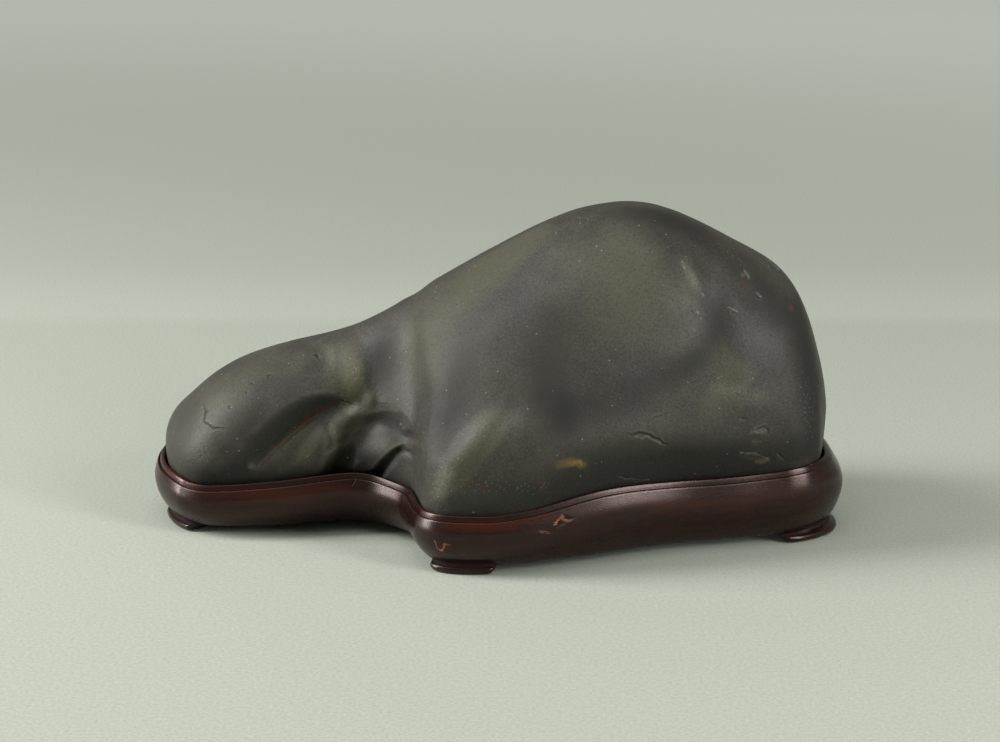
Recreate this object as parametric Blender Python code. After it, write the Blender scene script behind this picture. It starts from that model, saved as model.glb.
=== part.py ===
"""A water-worn viewing stone resting in its carved hardwood stand.

The stone is lofted through upright sections that follow its skyline, its plan outlines and its keel,
then worked with broad swells and hollows. The stand is carved to the stone: its wall follows the
stone's outline, with a beaded rim, a bellied side, leaf-shaped feet and a recess that takes the stone.
Run it with: blender --background --python part.py
"""

import math

import bmesh
import bpy
from mathutils import Vector, noise
from mathutils.bvhtree import BVHTree

MM = 0.001

# Outlines of the stone in millimetres, as (x, value) along its length, left to right.
SKYLINE = [
    (-161.8, 36.0), (-161.2, 41.0), (-159.1, 47.0), (-154.7, 53.2), (-148.8, 58.9), (-140.0, 67.3),
    (-130.0, 73.6), (-111.0, 80.5), (-92.0, 85.4), (-72.0, 91.5), (-53.0, 101.4), (-34.0, 114.0),
    (-14.0, 126.2), (5.0, 136.6), (24.0, 146.5), (42.0, 153.2), (61.0, 155.2), (76.0, 152.8),
    (90.0, 147.2), (109.0, 137.0), (126.0, 128.0), (136.0, 118.0), (144.5, 102.0), (149.5, 86.0),
    (152.6, 73.0), (154.4, 62.0), (154.8, 57.0),
]
CREST_Y = [
    (-161.8, 34.0), (-110.0, 35.0), (-60.0, 31.0), (0.0, 21.0), (60.0, 14.0), (120.0, 17.0), (154.8, 20.0),
]
FRONT = [
    (-161.8, 33.0), (-161.0, 26.0), (-158.5, 16.0), (-152.5, 4.0), (-145.5, -5.0), (-137.0, -10.5),
    (-124.0, -12.0), (-104.0, -9.5), (-86.0, -4.0), (-70.0, -1.0), (-58.0, -4.5), (-49.0, -12.0),
    (-43.0, -18.0), (-39.5, -23.0), (-37.5, -31.5), (-36.0, -43.0), (-34.0, -50.5), (-31.0, -55.2),
    (-27.0, -59.0), (-22.0, -61.3), (-6.0, -63.5), (12.0, -60.5),
    (34.0, -54.0), (60.0, -46.5), (90.0, -38.5), (118.0, -31.0), (137.0, -22.5), (147.5, -10.0),
    (152.5, 3.0), (154.5, 14.0), (154.8, 19.0),
]
BACK = [
    (-161.8, 35.0), (-161.0, 43.0), (-158.0, 53.0), (-151.5, 64.0), (-142.0, 72.0), (-126.0, 77.5),
    (-105.0, 79.5), (-80.0, 78.5), (-50.0, 79.0), (-20.0, 84.0), (15.0, 90.0), (55.0, 93.0),
    (95.0, 88.0), (121.0, 78.0), (139.0, 64.0), (149.0, 46.0), (153.8, 30.0), (154.8, 21.0),
]
KEEL = [
    (-161.8, 35.0), (-161.0, 30.0), (-158.0, 23.5), (-152.5, 17.0), (-144.0, 12.5), (-134.0, 11.3),
    (130.0, 11.3), (139.0, 12.5), (146.0, 16.5), (150.5, 24.0), (152.6, 36.0), (154.3, 49.0), (154.8, 56.0),
]
# Height of the widest line, as a share of the way from keel to crest.
FRONT_BELLY = [
    (-161.8, 0.5), (-120.0, 0.42), (-70.0, 0.34), (-20.0, 0.36), (30.0, 0.32), (90.0, 0.33), (154.8, 0.5),
]
BACK_BELLY = [(-161.8, 0.5), (-100.0, 0.40), (0.0, 0.34), (90.0, 0.34), (154.8, 0.5)]
# Squareness of the upper quarters: 2 is an ellipse, less is flatter, more is fuller.
FRONT_SQUARE = [
    (-161.8, 2.0), (-120.0, 2.1), (-70.0, 1.7), (-40.0, 1.5), (0.0, 1.6), (50.0, 1.75), (110.0, 2.1),
    (154.8, 2.0),
]
BACK_SQUARE = [(-161.8, 2.0), (-80.0, 2.0), (0.0, 2.0), (60.0, 2.2), (154.8, 2.0)]
LOWER_SQUARE = [
    (-161.8, 2.3), (-150.0, 1.8), (-125.0, 1.6), (-70.0, 1.6), (-48.0, 1.9), (-25.0, 2.3), (5.0, 2.3),
    (34.0, 1.9), (64.0, 1.5), (92.0, 1.3), (120.0, 1.3), (142.0, 1.5), (154.8, 2.0),
]
# The flat base's share of the section's depth, in front of its middle: the stone's front is undercut.
FRONT_BASE_SHARE = [
    (-161.8, 0.8), (-150.0, 0.55), (-125.0, 0.42), (-70.0, 0.45), (-45.0, 0.6), (-25.0, 0.8), (5.0, 0.77),
    (34.0, 0.64), (64.0, 0.52), (118.0, 0.43), (142.0, 0.55), (154.8, 0.78),
]
BACK_BASE_SHARE = 0.80

# Stations along the stone: (from x, to x, number of steps).
STATION_RUNS = [
    (-161.3, -149.0, 5), (-149.0, -62.0, 13), (-62.0, -44.0, 4), (-44.0, -32.0, 5), (-32.0, -22.0, 2),
    (-22.0, 127.0, 18), (127.0, 154.4, 7),
]
UPPER_STEPS = 15
LOWER_STEPS = 7
BASE_STEPS = 5

# The stand, in millimetres. Its rim's height above the table follows x, along the front and the back.
FOOT_HEIGHT = 4.2
SEAT_Z = 11.0
REST_GAP = 0.3
# Room between the stone and the recess, at the rim and down at the seat.
SIDE_GAP = 0.6
SEAT_GAP = 2.8
RIM_FRONT = [
    (-165.0, 31.0), (-157.0, 29.4), (-148.0, 26.5), (-138.0, 25.4), (-126.0, 26.4), (-117.0, 27.1),
    (-103.0, 27.5), (-89.0, 28.7), (-77.0, 30.1), (-69.0, 30.1), (-56.0, 29.4), (-46.0, 28.5),
    (-36.0, 28.3), (-22.0, 28.6), (-9.0, 28.4), (9.0, 29.2), (27.0, 33.2), (45.0, 36.9), (66.0, 36.2),
    (92.0, 35.3), (111.0, 35.7), (127.0, 36.4), (143.0, 38.3), (160.0, 38.5),
]
RIM_BACK = [
    (-165.0, 31.0), (-140.0, 31.5), (-80.0, 30.0), (-20.0, 32.0), (50.0, 35.0), (110.0, 36.0), (160.0, 38.5),
]
OUTLINE_Z = 30.0
OUTLINE_SMOOTHING = 3
TANGENT_REACH = 4
# The most distance and the most turn (in radians) between two stations, and the step at feet's ends.
STRAIGHT_STEP = 9.5
MOST_TURN = 0.17
FOOT_END_STEP = 2.6
# Profiles of the carving, as (reach outwards from the stone's outline at the rim, height), in millimetres.
# A foot, from its inner edge round its outer side:
FOOT_PROFILE = [
    (-15.5, 4.2), (-14.8, 3.4), (-14.0, 0.0), (-1.0, 0.0), (0.1, 0.5), (0.9, 2.2), (0.5, 3.2), (-1.4, 4.1),
]
# The same points between feet, on the flat underside:
UNDERSIDE_REACH = [-15.5, -13.5, -11.0, -8.5, -6.2, -4.6, -3.4, -2.6]
# The bellied wall, its height as a share of the way from the underside to the shoulder:
WALL_PROFILE = [(-1.5, 0.03), (1.2, 0.15), (3.6, 0.31), (5.2, 0.47), (6.0, 0.63), (6.1, 0.77), (5.3, 0.89)]
# The shoulder, the groove, the bead and the inner band, as (reach, depth below the rim's top):
RIM_PROFILE = [
    (4.45, 2.6), (4.1, 2.55), (3.65, 3.2), (3.35, 2.3), (3.2, 1.5), (2.95, 0.7), (2.6, 0.12), (1.8, 0.0),
    (1.1, 0.3),
]
# At the right end the groove runs out and the shoulder rolls over into the rim.
END_RIM_PROFILE = [
    (4.45, 2.6), (4.3, 2.05), (4.0, 1.5), (3.6, 1.05), (3.15, 0.7), (2.7, 0.4), (2.25, 0.2), (1.7, 0.08),
    (1.1, 0.3),
]
END_FROM, END_TO = 0.5, 0.8
SHOULDER_DEPTH = 2.6
# The recess, as shares of the way from the rim down to the seat:
RECESS_SHARES = [0.06, 0.3, 0.5, 0.68, 0.82, 0.92, 1.0]
DEEPEST_REACH = -9.0
# At its right end the wall swells further out, more so the lower it is, down to WIDENING_DEPTH.
END_WIDENING = 4.6
WIDENING_DEPTH = 12.0
# The foot under that end reaches out further too.
FOOT_WIDENING = 2.8
# Feet: a point by the middle of each, and its length along the outline.
FEET = [
    ((-19.0, -60.0), 34.0), ((-159.0, 13.0), 38.0), ((152.0, -4.0), 44.0),
    ((-136.0, 75.0), 34.0), ((18.0, 90.0), 38.0), ((138.0, 66.0), 38.0),
]
FOOT_EASE = 6.0

# Broad swells (+) and hollows (-) of the stone: centre in mm, radius in mm, height in mm.
SWELLS = [
    ((-66.0, -6.0, 55.0), 24.0, -7.0),
    ((-40.0, -28.0, 74.0), 20.0, -3.5),
    ((20.0, -40.0, 96.0), 34.0, -3.0),
    ((92.0, -24.0, 110.0), 16.0, -2.0),
    ((118.0, -14.0, 95.0), 24.0, 2.5),
    ((128.0, 0.0, 118.0), 14.0, -3.0),
    ((-9.0, -58.0, 60.0), 16.0, 3.0),
    ((60.0, 84.0, 90.0), 40.0, -4.0),
    ((-30.0, 72.0, 80.0), 30.0, -6.0),
    ((110.0, 66.0, 100.0), 26.0, 4.0),
    ((-110.0, 66.0, 62.0), 24.0, 3.0),
]
# A slight unevenness all over the stone but its base, in millimetres.
UNEVEN_SIZE = 46.0
UNEVEN_HEIGHT = 1.2
UNEVEN_FROM = 25.0

# How far outside the outline the stone is probed from, in millimetres.
PROBE = 12.0
SHARP_ANGLE = math.radians(50)


def smooth_at(knots, x):
    """Value at x of a monotone cubic curve through the knots."""
    if x <= knots[0][0]:
        return knots[0][1]
    if x >= knots[-1][0]:
        return knots[-1][1]
    slopes = [(b[1] - a[1]) / (b[0] - a[0]) for a, b in zip(knots, knots[1:])]

    def tangent(i):
        if i == 0:
            return slopes[0]
        if i == len(knots) - 1:
            return slopes[-1]
        before, after = slopes[i - 1], slopes[i]
        if before * after <= 0:
            return 0.0
        return 2 * before * after / (before + after)

    i = next(k for k in range(len(slopes)) if x <= knots[k + 1][0])
    (x0, y0), (x1, y1) = knots[i], knots[i + 1]
    width = x1 - x0
    t = (x - x0) / width
    rise = (
        (2 * t**3 - 3 * t**2 + 1) * y0
        + (t**3 - 2 * t**2 + t) * width * tangent(i)
        + (3 * t**2 - 2 * t**3) * y1
        + (t**3 - t**2) * width * tangent(i + 1)
    )
    return rise


def quarter(start, end, square, steps):
    """Points of a superellipse quarter from start, where it runs level, to end, where it runs upright."""
    power = 2 / square
    points = []
    for k in range(steps):
        angle = k / steps * math.pi / 2
        across = math.sin(angle) ** power
        down = math.cos(angle) ** power
        points.append((start[0] + (end[0] - start[0]) * across, end[1] + (start[1] - end[1]) * down))
    return points


def section(x):
    """Closed ring of (y, z) in mm around the stone at x: crest, front, base, back."""
    crest = (smooth_at(CREST_Y, x), smooth_at(SKYLINE, x))
    keel = smooth_at(KEEL, x)
    front_y, back_y = smooth_at(FRONT, x), smooth_at(BACK, x)
    front = (front_y, keel + (crest[1] - keel) * smooth_at(FRONT_BELLY, x))
    back = (back_y, keel + (crest[1] - keel) * smooth_at(BACK_BELLY, x))
    middle = (front_y + back_y) / 2
    base_front = (middle + (front_y - middle) * smooth_at(FRONT_BASE_SHARE, x), keel)
    base_back = (middle + (back_y - middle) * BACK_BASE_SHARE, keel)
    lower_square = smooth_at(LOWER_SQUARE, x)
    ring = quarter(crest, front, smooth_at(FRONT_SQUARE, x), UPPER_STEPS) + [front]
    ring += quarter(base_front, front, lower_square, LOWER_STEPS)[::-1]
    step = (base_back[0] - base_front[0]) / BASE_STEPS
    ring += [(base_front[0] + step * k, keel) for k in range(1, BASE_STEPS)]
    ring += quarter(base_back, back, lower_square, LOWER_STEPS) + [back]
    ring += quarter(crest, back, smooth_at(BACK_SQUARE, x), UPPER_STEPS)[:0:-1]
    return ring


def stations():
    """The x of each section, in mm."""
    places = [STATION_RUNS[0][0]]
    for start, end, steps in STATION_RUNS:
        places += [start + (end - start) * (k + 1) / steps for k in range(steps)]
    return places


def material(name, colour, roughness):
    made = bpy.data.materials.new(name)
    made.use_nodes = True
    shader = made.node_tree.nodes["Principled BSDF"]
    shader.inputs["Base Color"].default_value = (*colour, 1.0)
    shader.inputs["Roughness"].default_value = roughness
    shader.inputs["Metallic"].default_value = 0.0
    return made


def finished(bm, name, shift, finish):
    """A smooth-shaded object in metres from a bmesh in millimetres, moved by shift."""
    bmesh.ops.recalc_face_normals(bm, faces=bm.faces)
    bmesh.ops.translate(bm, vec=shift, verts=bm.verts)
    bmesh.ops.scale(bm, vec=(MM, MM, MM), verts=bm.verts)
    mesh = bpy.data.meshes.new(name)
    bm.to_mesh(mesh)
    bm.free()
    mesh.shade_smooth()
    mesh.set_sharp_from_angle(angle=SHARP_ANGLE)
    mesh.materials.append(finish)
    made = bpy.data.objects.new(name, mesh)
    bpy.context.scene.collection.objects.link(made)
    return made


def loft(rings):
    """A closed bmesh through rings of points that all hold the same number of them."""
    bm = bmesh.new()
    loops = [[bm.verts.new(point) for point in ring] for ring in rings]
    for lower, upper in zip(loops, loops[1:]):
        for k in range(len(lower)):
            after = (k + 1) % len(lower)
            bm.faces.new((lower[k], lower[after], upper[after], upper[k]))
    bm.faces.new(loops[0])
    bm.faces.new(loops[-1])
    bmesh.ops.recalc_face_normals(bm, faces=bm.faces)
    return bm


def bell(distance, radius):
    """1 at the middle, falling smoothly to 0 at the radius."""
    share = min(distance / radius, 1.0)
    return (1 - share * share) ** 2


def swell(bm, middle, radius, height):
    """Raises or sinks the surface round a point, along the way that it faces there."""
    near = [(v, bell((v.co - middle).length, radius)) for v in bm.verts if (v.co - middle).length < radius]
    direction = sum((v.normal * weight for v, weight in near), Vector())
    direction.normalize()
    for v, weight in near:
        v.co += direction * height * weight
    bm.normal_update()


def stone_shape():
    bm = loft([[Vector((x, y, z)) for y, z in section(x)] for x in stations()])
    bmesh.ops.poke(bm, faces=[f for f in bm.faces if len(f.verts) > 4])
    for middle, radius, height in SWELLS:
        swell(bm, Vector(middle), radius, height)
    for v in bm.verts:
        above_base = min(max((v.co.z - SEAT_Z - REST_GAP) / UNEVEN_FROM, 0.0), 1.0)
        v.co += v.normal * UNEVEN_HEIGHT * above_base * noise.noise(v.co / UNEVEN_SIZE)
    bm.normal_update()
    return bm


def outline_of(stone):
    """The stone's outline at OUTLINE_Z, as points one millimetre apart, anticlockwise from above."""
    cut = stone.copy()
    bmesh.ops.bisect_plane(
        cut,
        geom=cut.verts[:] + cut.edges[:] + cut.faces[:],
        dist=1e-5,
        plane_co=(0, 0, OUTLINE_Z),
        plane_no=(0, 0, 1),
        clear_inner=True,
        clear_outer=True,
    )
    start = min(cut.verts, key=lambda v: v.co.x)
    walk, edge = [start], start.link_edges[0]
    while edge.other_vert(walk[-1]) is not start:
        walk.append(edge.other_vert(walk[-1]))
        edge = next(e for e in walk[-1].link_edges if e is not edge)
    corners = [v.co.xy for v in walk]
    cut.free()
    if sum(a.cross(b) for a, b in zip(corners, corners[1:] + corners[:1])) < 0:
        corners.reverse()
    return smoothed(evenly_spaced(corners + corners[:1], 1.0), OUTLINE_SMOOTHING)


def evenly_spaced(corners, spacing):
    """Points along a closed run of corners, whose last is its first, at about the given spacing."""
    lengths = [(b - a).length for a, b in zip(corners, corners[1:])]
    count = round(sum(lengths) / spacing)
    pace, points, leg, behind = sum(lengths) / count, [], 0, 0.0
    for k in range(count):
        while behind + lengths[leg] < pace * k:
            behind += lengths[leg]
            leg += 1
        points.append(corners[leg].lerp(corners[leg + 1], (pace * k - behind) / lengths[leg]))
    return points


def smoothed(values, reach):
    """Each value of a closed run, averaged twice over with its neighbours up to reach places away."""
    around = range(-reach, reach + 1)
    for _ in range(2):
        count = len(values)
        values = [
            sum((values[(k + j) % count] for j in around), values[k] * 0) / len(around) for k in range(count)
        ]
    return values


def foot_share(outline, k, feet):
    """1 over a foot, easing to 0 past its ends."""
    count = len(outline)
    share = 0.0
    for middle, length in feet:
        apart = abs((k - middle + count / 2) % count - count / 2)
        t = min(max((length / 2 + FOOT_EASE / 2 - apart) / FOOT_EASE, 0.0), 1.0)
        share = max(share, t * t * (3 - 2 * t))
    return share


def carving_stations(outline):
    """(point, outward direction, foot share) round the stand, closest at curves and at feet's ends."""
    count = len(outline)
    tangents = [
        (outline[(k + TANGENT_REACH) % count] - outline[k - TANGENT_REACH]).normalized() for k in range(count)
    ]
    feet = []
    for place, length in FEET:
        nearest = min(range(count), key=lambda k: (outline[k] - Vector(place)).length)
        feet.append((nearest, length))
    shares = [foot_share(outline, k, feet) for k in range(count)]
    along = [0.0]
    for k in range(count):
        ahead, behind = tangents[(k + TANGENT_REACH) % count], tangents[k - TANGENT_REACH]
        turn = abs(ahead.angle_signed(behind)) / (2 * TANGENT_REACH)
        step = min(STRAIGHT_STEP, MOST_TURN / turn) if turn else STRAIGHT_STEP
        if 0.0 < shares[k] < 1.0:
            step = FOOT_END_STEP
        along.append(along[-1] + 1 / step)
    total = round(along[-1])
    chosen, k = [], 0
    for n in range(total):
        while along[k + 1] < n * along[-1] / total:
            k += 1
        chosen.append((outline[k], Vector((tangents[k].y, -tangents[k].x)), shares[k]))
    return chosen


def reach_at(tree, point, outward, z):
    """How far the stone reaches past the outline's point at height z."""
    start = Vector((*(point + outward * PROBE), z))
    hit = tree.ray_cast(start, Vector((*-outward, 0.0)), 2 * PROBE)[0]
    if hit is None:
        return -PROBE
    return (hit.xy - point).dot(outward)


def stand_shape(stone):
    """The stand, carved round the stone: one ring of points for each line of its profile."""
    tree = BVHTree.FromBMesh(stone)
    places = carving_stations(outline_of(stone))
    tops = smoothed([smooth_at(RIM_FRONT if out.y < 0 else RIM_BACK, point.x) for point, out, _ in places], 1)
    fits = smoothed([reach_at(tree, point, out, top) for (point, out, _), top in zip(places, tops)], 1)
    columns = []
    for (point, outward, foot), top, fit in zip(places, tops, fits):
        shoulder = top - SHOULDER_DEPTH
        column = [
            (flat_reach + (reach - flat_reach) * foot, FOOT_HEIGHT + (z - FOOT_HEIGHT) * foot)
            for (reach, z), flat_reach in zip(FOOT_PROFILE, UNDERSIDE_REACH)
        ]
        column += [(reach, FOOT_HEIGHT + (shoulder - FOOT_HEIGHT) * share) for reach, share in WALL_PROFILE]
        roll = min(max((outward.x - END_FROM) / (END_TO - END_FROM), 0.0), 1.0)
        for (reach, depth), (end_reach, end_depth) in zip(RIM_PROFILE, END_RIM_PROFILE):
            column.append((reach + (end_reach - reach) * roll, top - depth - (end_depth - depth) * roll))
        end = max(outward.x, 0.0) ** 4
        column = [
            (fit + reach + end * END_WIDENING * min((top - z) / WIDENING_DEPTH, 1.0), z) for reach, z in column
        ]
        column = [(reach + end * foot * FOOT_WIDENING * (z < FOOT_HEIGHT), z) for reach, z in column]
        widest = DEEPEST_REACH
        recess = []
        for share in reversed(RECESS_SHARES):
            z = top + (SEAT_Z - top) * share
            gap = SIDE_GAP + (SEAT_GAP - SIDE_GAP) * share
            widest = max(widest, reach_at(tree, point, outward, max(z, SEAT_Z + 2 * REST_GAP)) + gap)
            recess.append((widest, z))
        column += reversed(recess)
        columns.append([Vector((*(point + outward * reach), z)) for reach, z in column])
    return loft(zip(*columns))


def main():
    for existing in list(bpy.data.objects):
        bpy.data.objects.remove(existing)
    dark_stone = material("dark_stone", (0.075, 0.076, 0.062), 0.55)
    rosewood = material("rosewood", (0.045, 0.013, 0.009), 0.35)
    stone = stone_shape()
    stand = stand_shape(stone)
    corners = [v.co for v in stone.verts] + [v.co for v in stand.verts]
    shift = Vector(
        (
            -(min(c.x for c in corners) + max(c.x for c in corners)) / 2,
            -(min(c.y for c in corners) + max(c.y for c in corners)) / 2,
            0.0,
        )
    )
    finished(stone, "stone", shift, dark_stone)
    finished(stand, "stand", shift, rosewood)


main()
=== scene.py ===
"""A water-worn scholars rock in its carved rosewood stand, in a plain pale studio."""

import math

import bmesh
import bpy
import numpy as np
from bpy.props import FloatProperty, FloatVectorProperty, PointerProperty
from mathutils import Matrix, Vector, noise


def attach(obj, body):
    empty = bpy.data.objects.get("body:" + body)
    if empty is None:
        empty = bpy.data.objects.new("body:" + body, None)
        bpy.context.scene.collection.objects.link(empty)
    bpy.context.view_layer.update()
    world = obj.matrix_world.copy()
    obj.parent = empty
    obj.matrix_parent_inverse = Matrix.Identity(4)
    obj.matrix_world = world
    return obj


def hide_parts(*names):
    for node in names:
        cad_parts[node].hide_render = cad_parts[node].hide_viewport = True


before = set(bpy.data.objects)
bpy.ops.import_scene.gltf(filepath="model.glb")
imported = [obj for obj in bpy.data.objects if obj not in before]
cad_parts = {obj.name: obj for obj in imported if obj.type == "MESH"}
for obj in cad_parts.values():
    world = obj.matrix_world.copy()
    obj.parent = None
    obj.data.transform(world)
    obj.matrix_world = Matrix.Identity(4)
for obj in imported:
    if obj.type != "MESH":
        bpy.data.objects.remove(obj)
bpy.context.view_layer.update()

bl_info = {
    "name": "Scholars rock on a carved stand",
    "version": (1, 0, 0),
    "blender": (4, 5, 0),
    "location": "3D View > Sidebar > Scholars rock",
    "description": "Builds a water-worn viewing stone, its carved stand and a plain studio",
    "category": "Add Mesh",
}

MM = 0.001

# The camera: a long lens that looks down a little on the middle of the object.
LENS_MM = 85.0
SENSOR_MM = 36.0
PICTURE_WIDTH = 1000
PICTURE_MIDDLE = (500.0, 371.0)
CAMERA_DISTANCE = 1.1
CAMERA_DOWN = math.radians(15.0)
CAMERA_TARGET = Vector((0.00193, -0.01458, 0.079))
PIXELS_PER_SLOPE = PICTURE_WIDTH * LENS_MM / SENSOR_MM
PIXEL_MM = CAMERA_DISTANCE / PIXELS_PER_SLOPE / MM
LOOK = Vector((0.0, math.cos(CAMERA_DOWN), -math.sin(CAMERA_DOWN)))
LOOK_UP = Vector((0.0, math.sin(CAMERA_DOWN), math.cos(CAMERA_DOWN)))
EYE = CAMERA_TARGET - CAMERA_DISTANCE * LOOK

# Each soft light's width and height, and its place, in metres.
LIGHTS = {
    "key": ((0.5, 1.5), (-1.38, -0.08, 0.8)),
    "fill": ((0.35, 0.9), (1.05, -0.78, 0.6)),
    "top": ((1.1, 1.1), (-0.2, -0.5, 1.6)),
}
FLOOR_REACH = 8.0

# CAD points closer than this are one point, and stand edges that bend more than this keep most of their edge.
MERGE_DISTANCE = 0.01 * MM
SHARP_EDGE = math.radians(38)
EDGE_CREASE = 0.9
ROUNDING_LEVELS = 2
# How far fine marks are shaken from the drawn line, in mm, and the size of the shake.
RAGGED_MM = 0.8
RAGGED_SIZE_MM = 2.4
# The height of the stand's rim at the front, as (x, height) in mm, and how far above it swells start to rise.
RIM_LINE = ((-165, 30), (-138, 26.5), (-77, 30.5), (-20, 29), (10, 30), (40, 36.5), (165, 38.5))
RIM_CLEARANCE_MM = 7.0
# How much deeper the stand's groove is cut than the CAD has it, in mm.
GROOVE_CUT_MM = 0.25


def linear(colour):
    """An sRGB hex colour as linear red, green and blue."""
    parts = [int(colour[at : at + 2], 16) / 255 for at in (1, 3, 5)]
    return [part / 12.92 if part <= 0.04045 else ((part + 0.055) / 1.055) ** 2.4 for part in parts]


# ---------------------------------------------------------------- settings


def colour_setting(name, colour, description):
    return FloatVectorProperty(
        name=name, description=description, subtype="COLOR", min=0, max=1, default=linear(colour),
    )


def share_setting(name, default, description):
    return FloatProperty(
        name=name, description=description, default=default, min=0, max=1, subtype="FACTOR",
    )


def power_setting(name, default, description):
    return FloatProperty(
        name=name, description=description, default=default, min=0, subtype="POWER", unit="POWER",
    )


class StoneSettings(bpy.types.PropertyGroup):
    """Sizes and colours of the stone."""

    olive: colour_setting("Olive", "#39372f", "The stone's warm, green-grey body colour")
    slate: colour_setting("Slate", "#312f2b", "The stone's cool, darker body colour")
    # painted paler and olive on the broad faces, partly as handling and partly as painted light where the
    # light falls on them
    patina: colour_setting("Patina", "#494738", "The broad faces, handled until they are paler and olive")
    # dirt in the cracks and pits, and painted shade in the notch, on the dome's top band and turned-under
    # part, and round the stone's foot
    grime: colour_setting("Grime", "#131310", "Dirt and hand grease in hollows and round the stone's foot")
    worn: colour_setting("Rubbed crests", "#55564b", "The stone where it is rubbed palest")
    tan: colour_setting("Tan", "#5a5238", "The brownish band on the shoulder above the notch")
    rust: colour_setting("Rust", "#4a3020", "Red-brown iron stains")
    ochre: colour_setting("Ochre", "#7a6534", "Yellow-brown iron stains")
    # also a few soft painted highlights besides the scratches and flecks
    chalk: colour_setting("Chalk", "#a3a596", "Scratches and mineral flecks")
    sheen: share_setting("Roughness", 0.52, "Roughness of the hand-rubbed surface")
    wear: FloatProperty(
        name="Unevenness", description="Height of the river-worn unevenness",
        default=0.35 * MM, min=0, soft_max=2 * MM, subtype="DISTANCE", unit="LENGTH",
    )


class StandSettings(bpy.types.PropertyGroup):
    """Colours and finish of the stand."""

    wood: colour_setting("Wood", "#220904", "The wood under its lacquer")
    vein: colour_setting("Vein", "#100605", "The dark veins of the wood")
    # this red is painted light on the walls where they catch the light, partly the wood's own red, and the
    # real rub on rounded edges
    red: colour_setting("Red wood", "#451a0e", "The wood where light gets in, and on rubbed edges")
    # this colour darkens the bottom of the groove
    dirt: colour_setting("Dirt", "#070302", "Old polish and dust in the groove")
    tint: colour_setting("Tint", "#ffe4de", "The red-brown tint of the old lacquer's shine")
    bare: colour_setting("Bare wood", "#965a38", "The wood inside a chip")
    lacquer: share_setting("Lacquer roughness", 0.27, "Roughness of the satin lacquer")


class StageSettings(bpy.types.PropertyGroup):
    """The floor, the room and the lights."""

    paper: colour_setting("Paper", "#a0a498", "Colour of the floor paper")
    # the colour of the paper's painted light, which makes it glow further back
    paper_glow: colour_setting("Far paper", "#a4a9a2", "Colour of the light on the paper further back")
    room: colour_setting("Room", "#b4b9ae", "Colour of the light from all round")
    glow: share_setting("Room light", 0.52, "Strength of the light from all round")
    # the paper is flat; this is a band of painted light where it would turn up
    fold: share_setting("Fold", 0.09, "Extra light on the soft fold where the paper turns up")
    key: power_setting("Key light", 42.0, "Power of the tall soft light at the left")
    fill: power_setting("Fill light", 15.0, "Power of the small soft light at the front right")
    top: power_setting("Top light", 8.0, "Power of the soft light overhead")


# ---------------------------------------------------------------- meshes


def add_piece(name, mesh):
    """Links a new object with this mesh to the scene."""
    piece = bpy.data.objects.new(name, mesh)
    bpy.context.scene.collection.objects.link(piece)
    return piece


def quad_copy(node, name, sharp=None):
    """A CAD node's loose triangles as one closed mesh, mostly of quads; edges over sharp get a crease."""
    bm = bmesh.new()
    bm.from_mesh(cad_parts[node].data)
    bmesh.ops.remove_doubles(bm, verts=bm.verts, dist=MERGE_DISTANCE)
    bmesh.ops.join_triangles(
        bm, faces=bm.faces, angle_face_threshold=math.radians(45), angle_shape_threshold=math.pi,
    )
    if sharp is not None:
        crease = bm.edges.layers.float.new("crease_edge")
        for edge in bm.edges:
            if edge.calc_face_angle(0) > sharp:
                edge[crease] = EDGE_CREASE
    mesh = bpy.data.meshes.new(name)
    bm.to_mesh(mesh)
    bm.free()
    return add_piece(name, mesh)


def subdivide(piece, levels):
    """Rounds the piece with Subdivision Surface and keeps the result as its mesh."""
    modifier = piece.modifiers.new("Round", "SUBSURF")
    modifier.levels = levels
    modifier.render_levels = levels
    graph = bpy.context.evaluated_depsgraph_get()
    mesh = bpy.data.meshes.new_from_object(piece.evaluated_get(graph))
    piece.modifiers.remove(modifier)
    piece.data = mesh
    mesh.name = piece.name


def finish_piece(piece, material, node):
    """Gives the piece its material, and puts it in place of its CAD node."""
    mesh = piece.data
    mesh.shade_smooth()
    mesh.materials.clear()
    mesh.materials.append(material)
    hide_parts(node)
    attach(piece, "root")


def points_of(mesh):
    points = np.empty(len(mesh.vertices) * 3)
    mesh.vertices.foreach_get("co", points)
    return points.reshape(-1, 3)


def normals_of(mesh):
    normals = np.empty(len(mesh.vertices) * 3)
    mesh.vertex_normals.foreach_get("vector", normals)
    return normals.reshape(-1, 3)


def edge_ends(mesh):
    """The two ends of every edge, as two lists of point numbers."""
    edges = np.empty(len(mesh.edges) * 2, int)
    mesh.edges.foreach_get("vertices", edges)
    return edges.reshape(-1, 2).T


def move_points(mesh, points):
    mesh.vertices.foreach_set("co", points.astype(np.float32).ravel())
    mesh.update()


def set_attribute(mesh, name, values):
    attribute = mesh.attributes.new(name, "FLOAT", "POINT")
    attribute.data.foreach_set("value", np.clip(values, 0, 1).astype(np.float32))


def ease(low, high, values):
    """0 below low, 1 above high, and smooth between."""
    share = np.clip((values - low) / (high - low), 0, 1)
    return share * share * (3 - 2 * share)


# ---------------------------------------------------------------- marks

# A mark is drawn as it is seen from one side: (crease, path). Its path is a list of points (across, along,
# left reach, right reach, rise), or (across, along, reach, rise) where both reaches are the same. From the
# front the first two are the picture's pixels, across and down; from the other sides they are mm, across and
# up. The reaches are in mm, to either side of the path in the drawing, and so is the rise. Crease is 0 for a
# round mark and 1 for one with a sharp bottom.

# How the other sides are drawn, each seen square on: the way to the right, and the way up.
SIGHTS = {
    "back": ((-1, 0, 0), (0, 0, 1)),
    "top": ((1, 0, 0), (0, 1, 0)),
    "left": ((0, -1, 0), (0, 0, 1)),
    "right": ((0, 1, 0), (0, 0, 1)),
}

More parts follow.
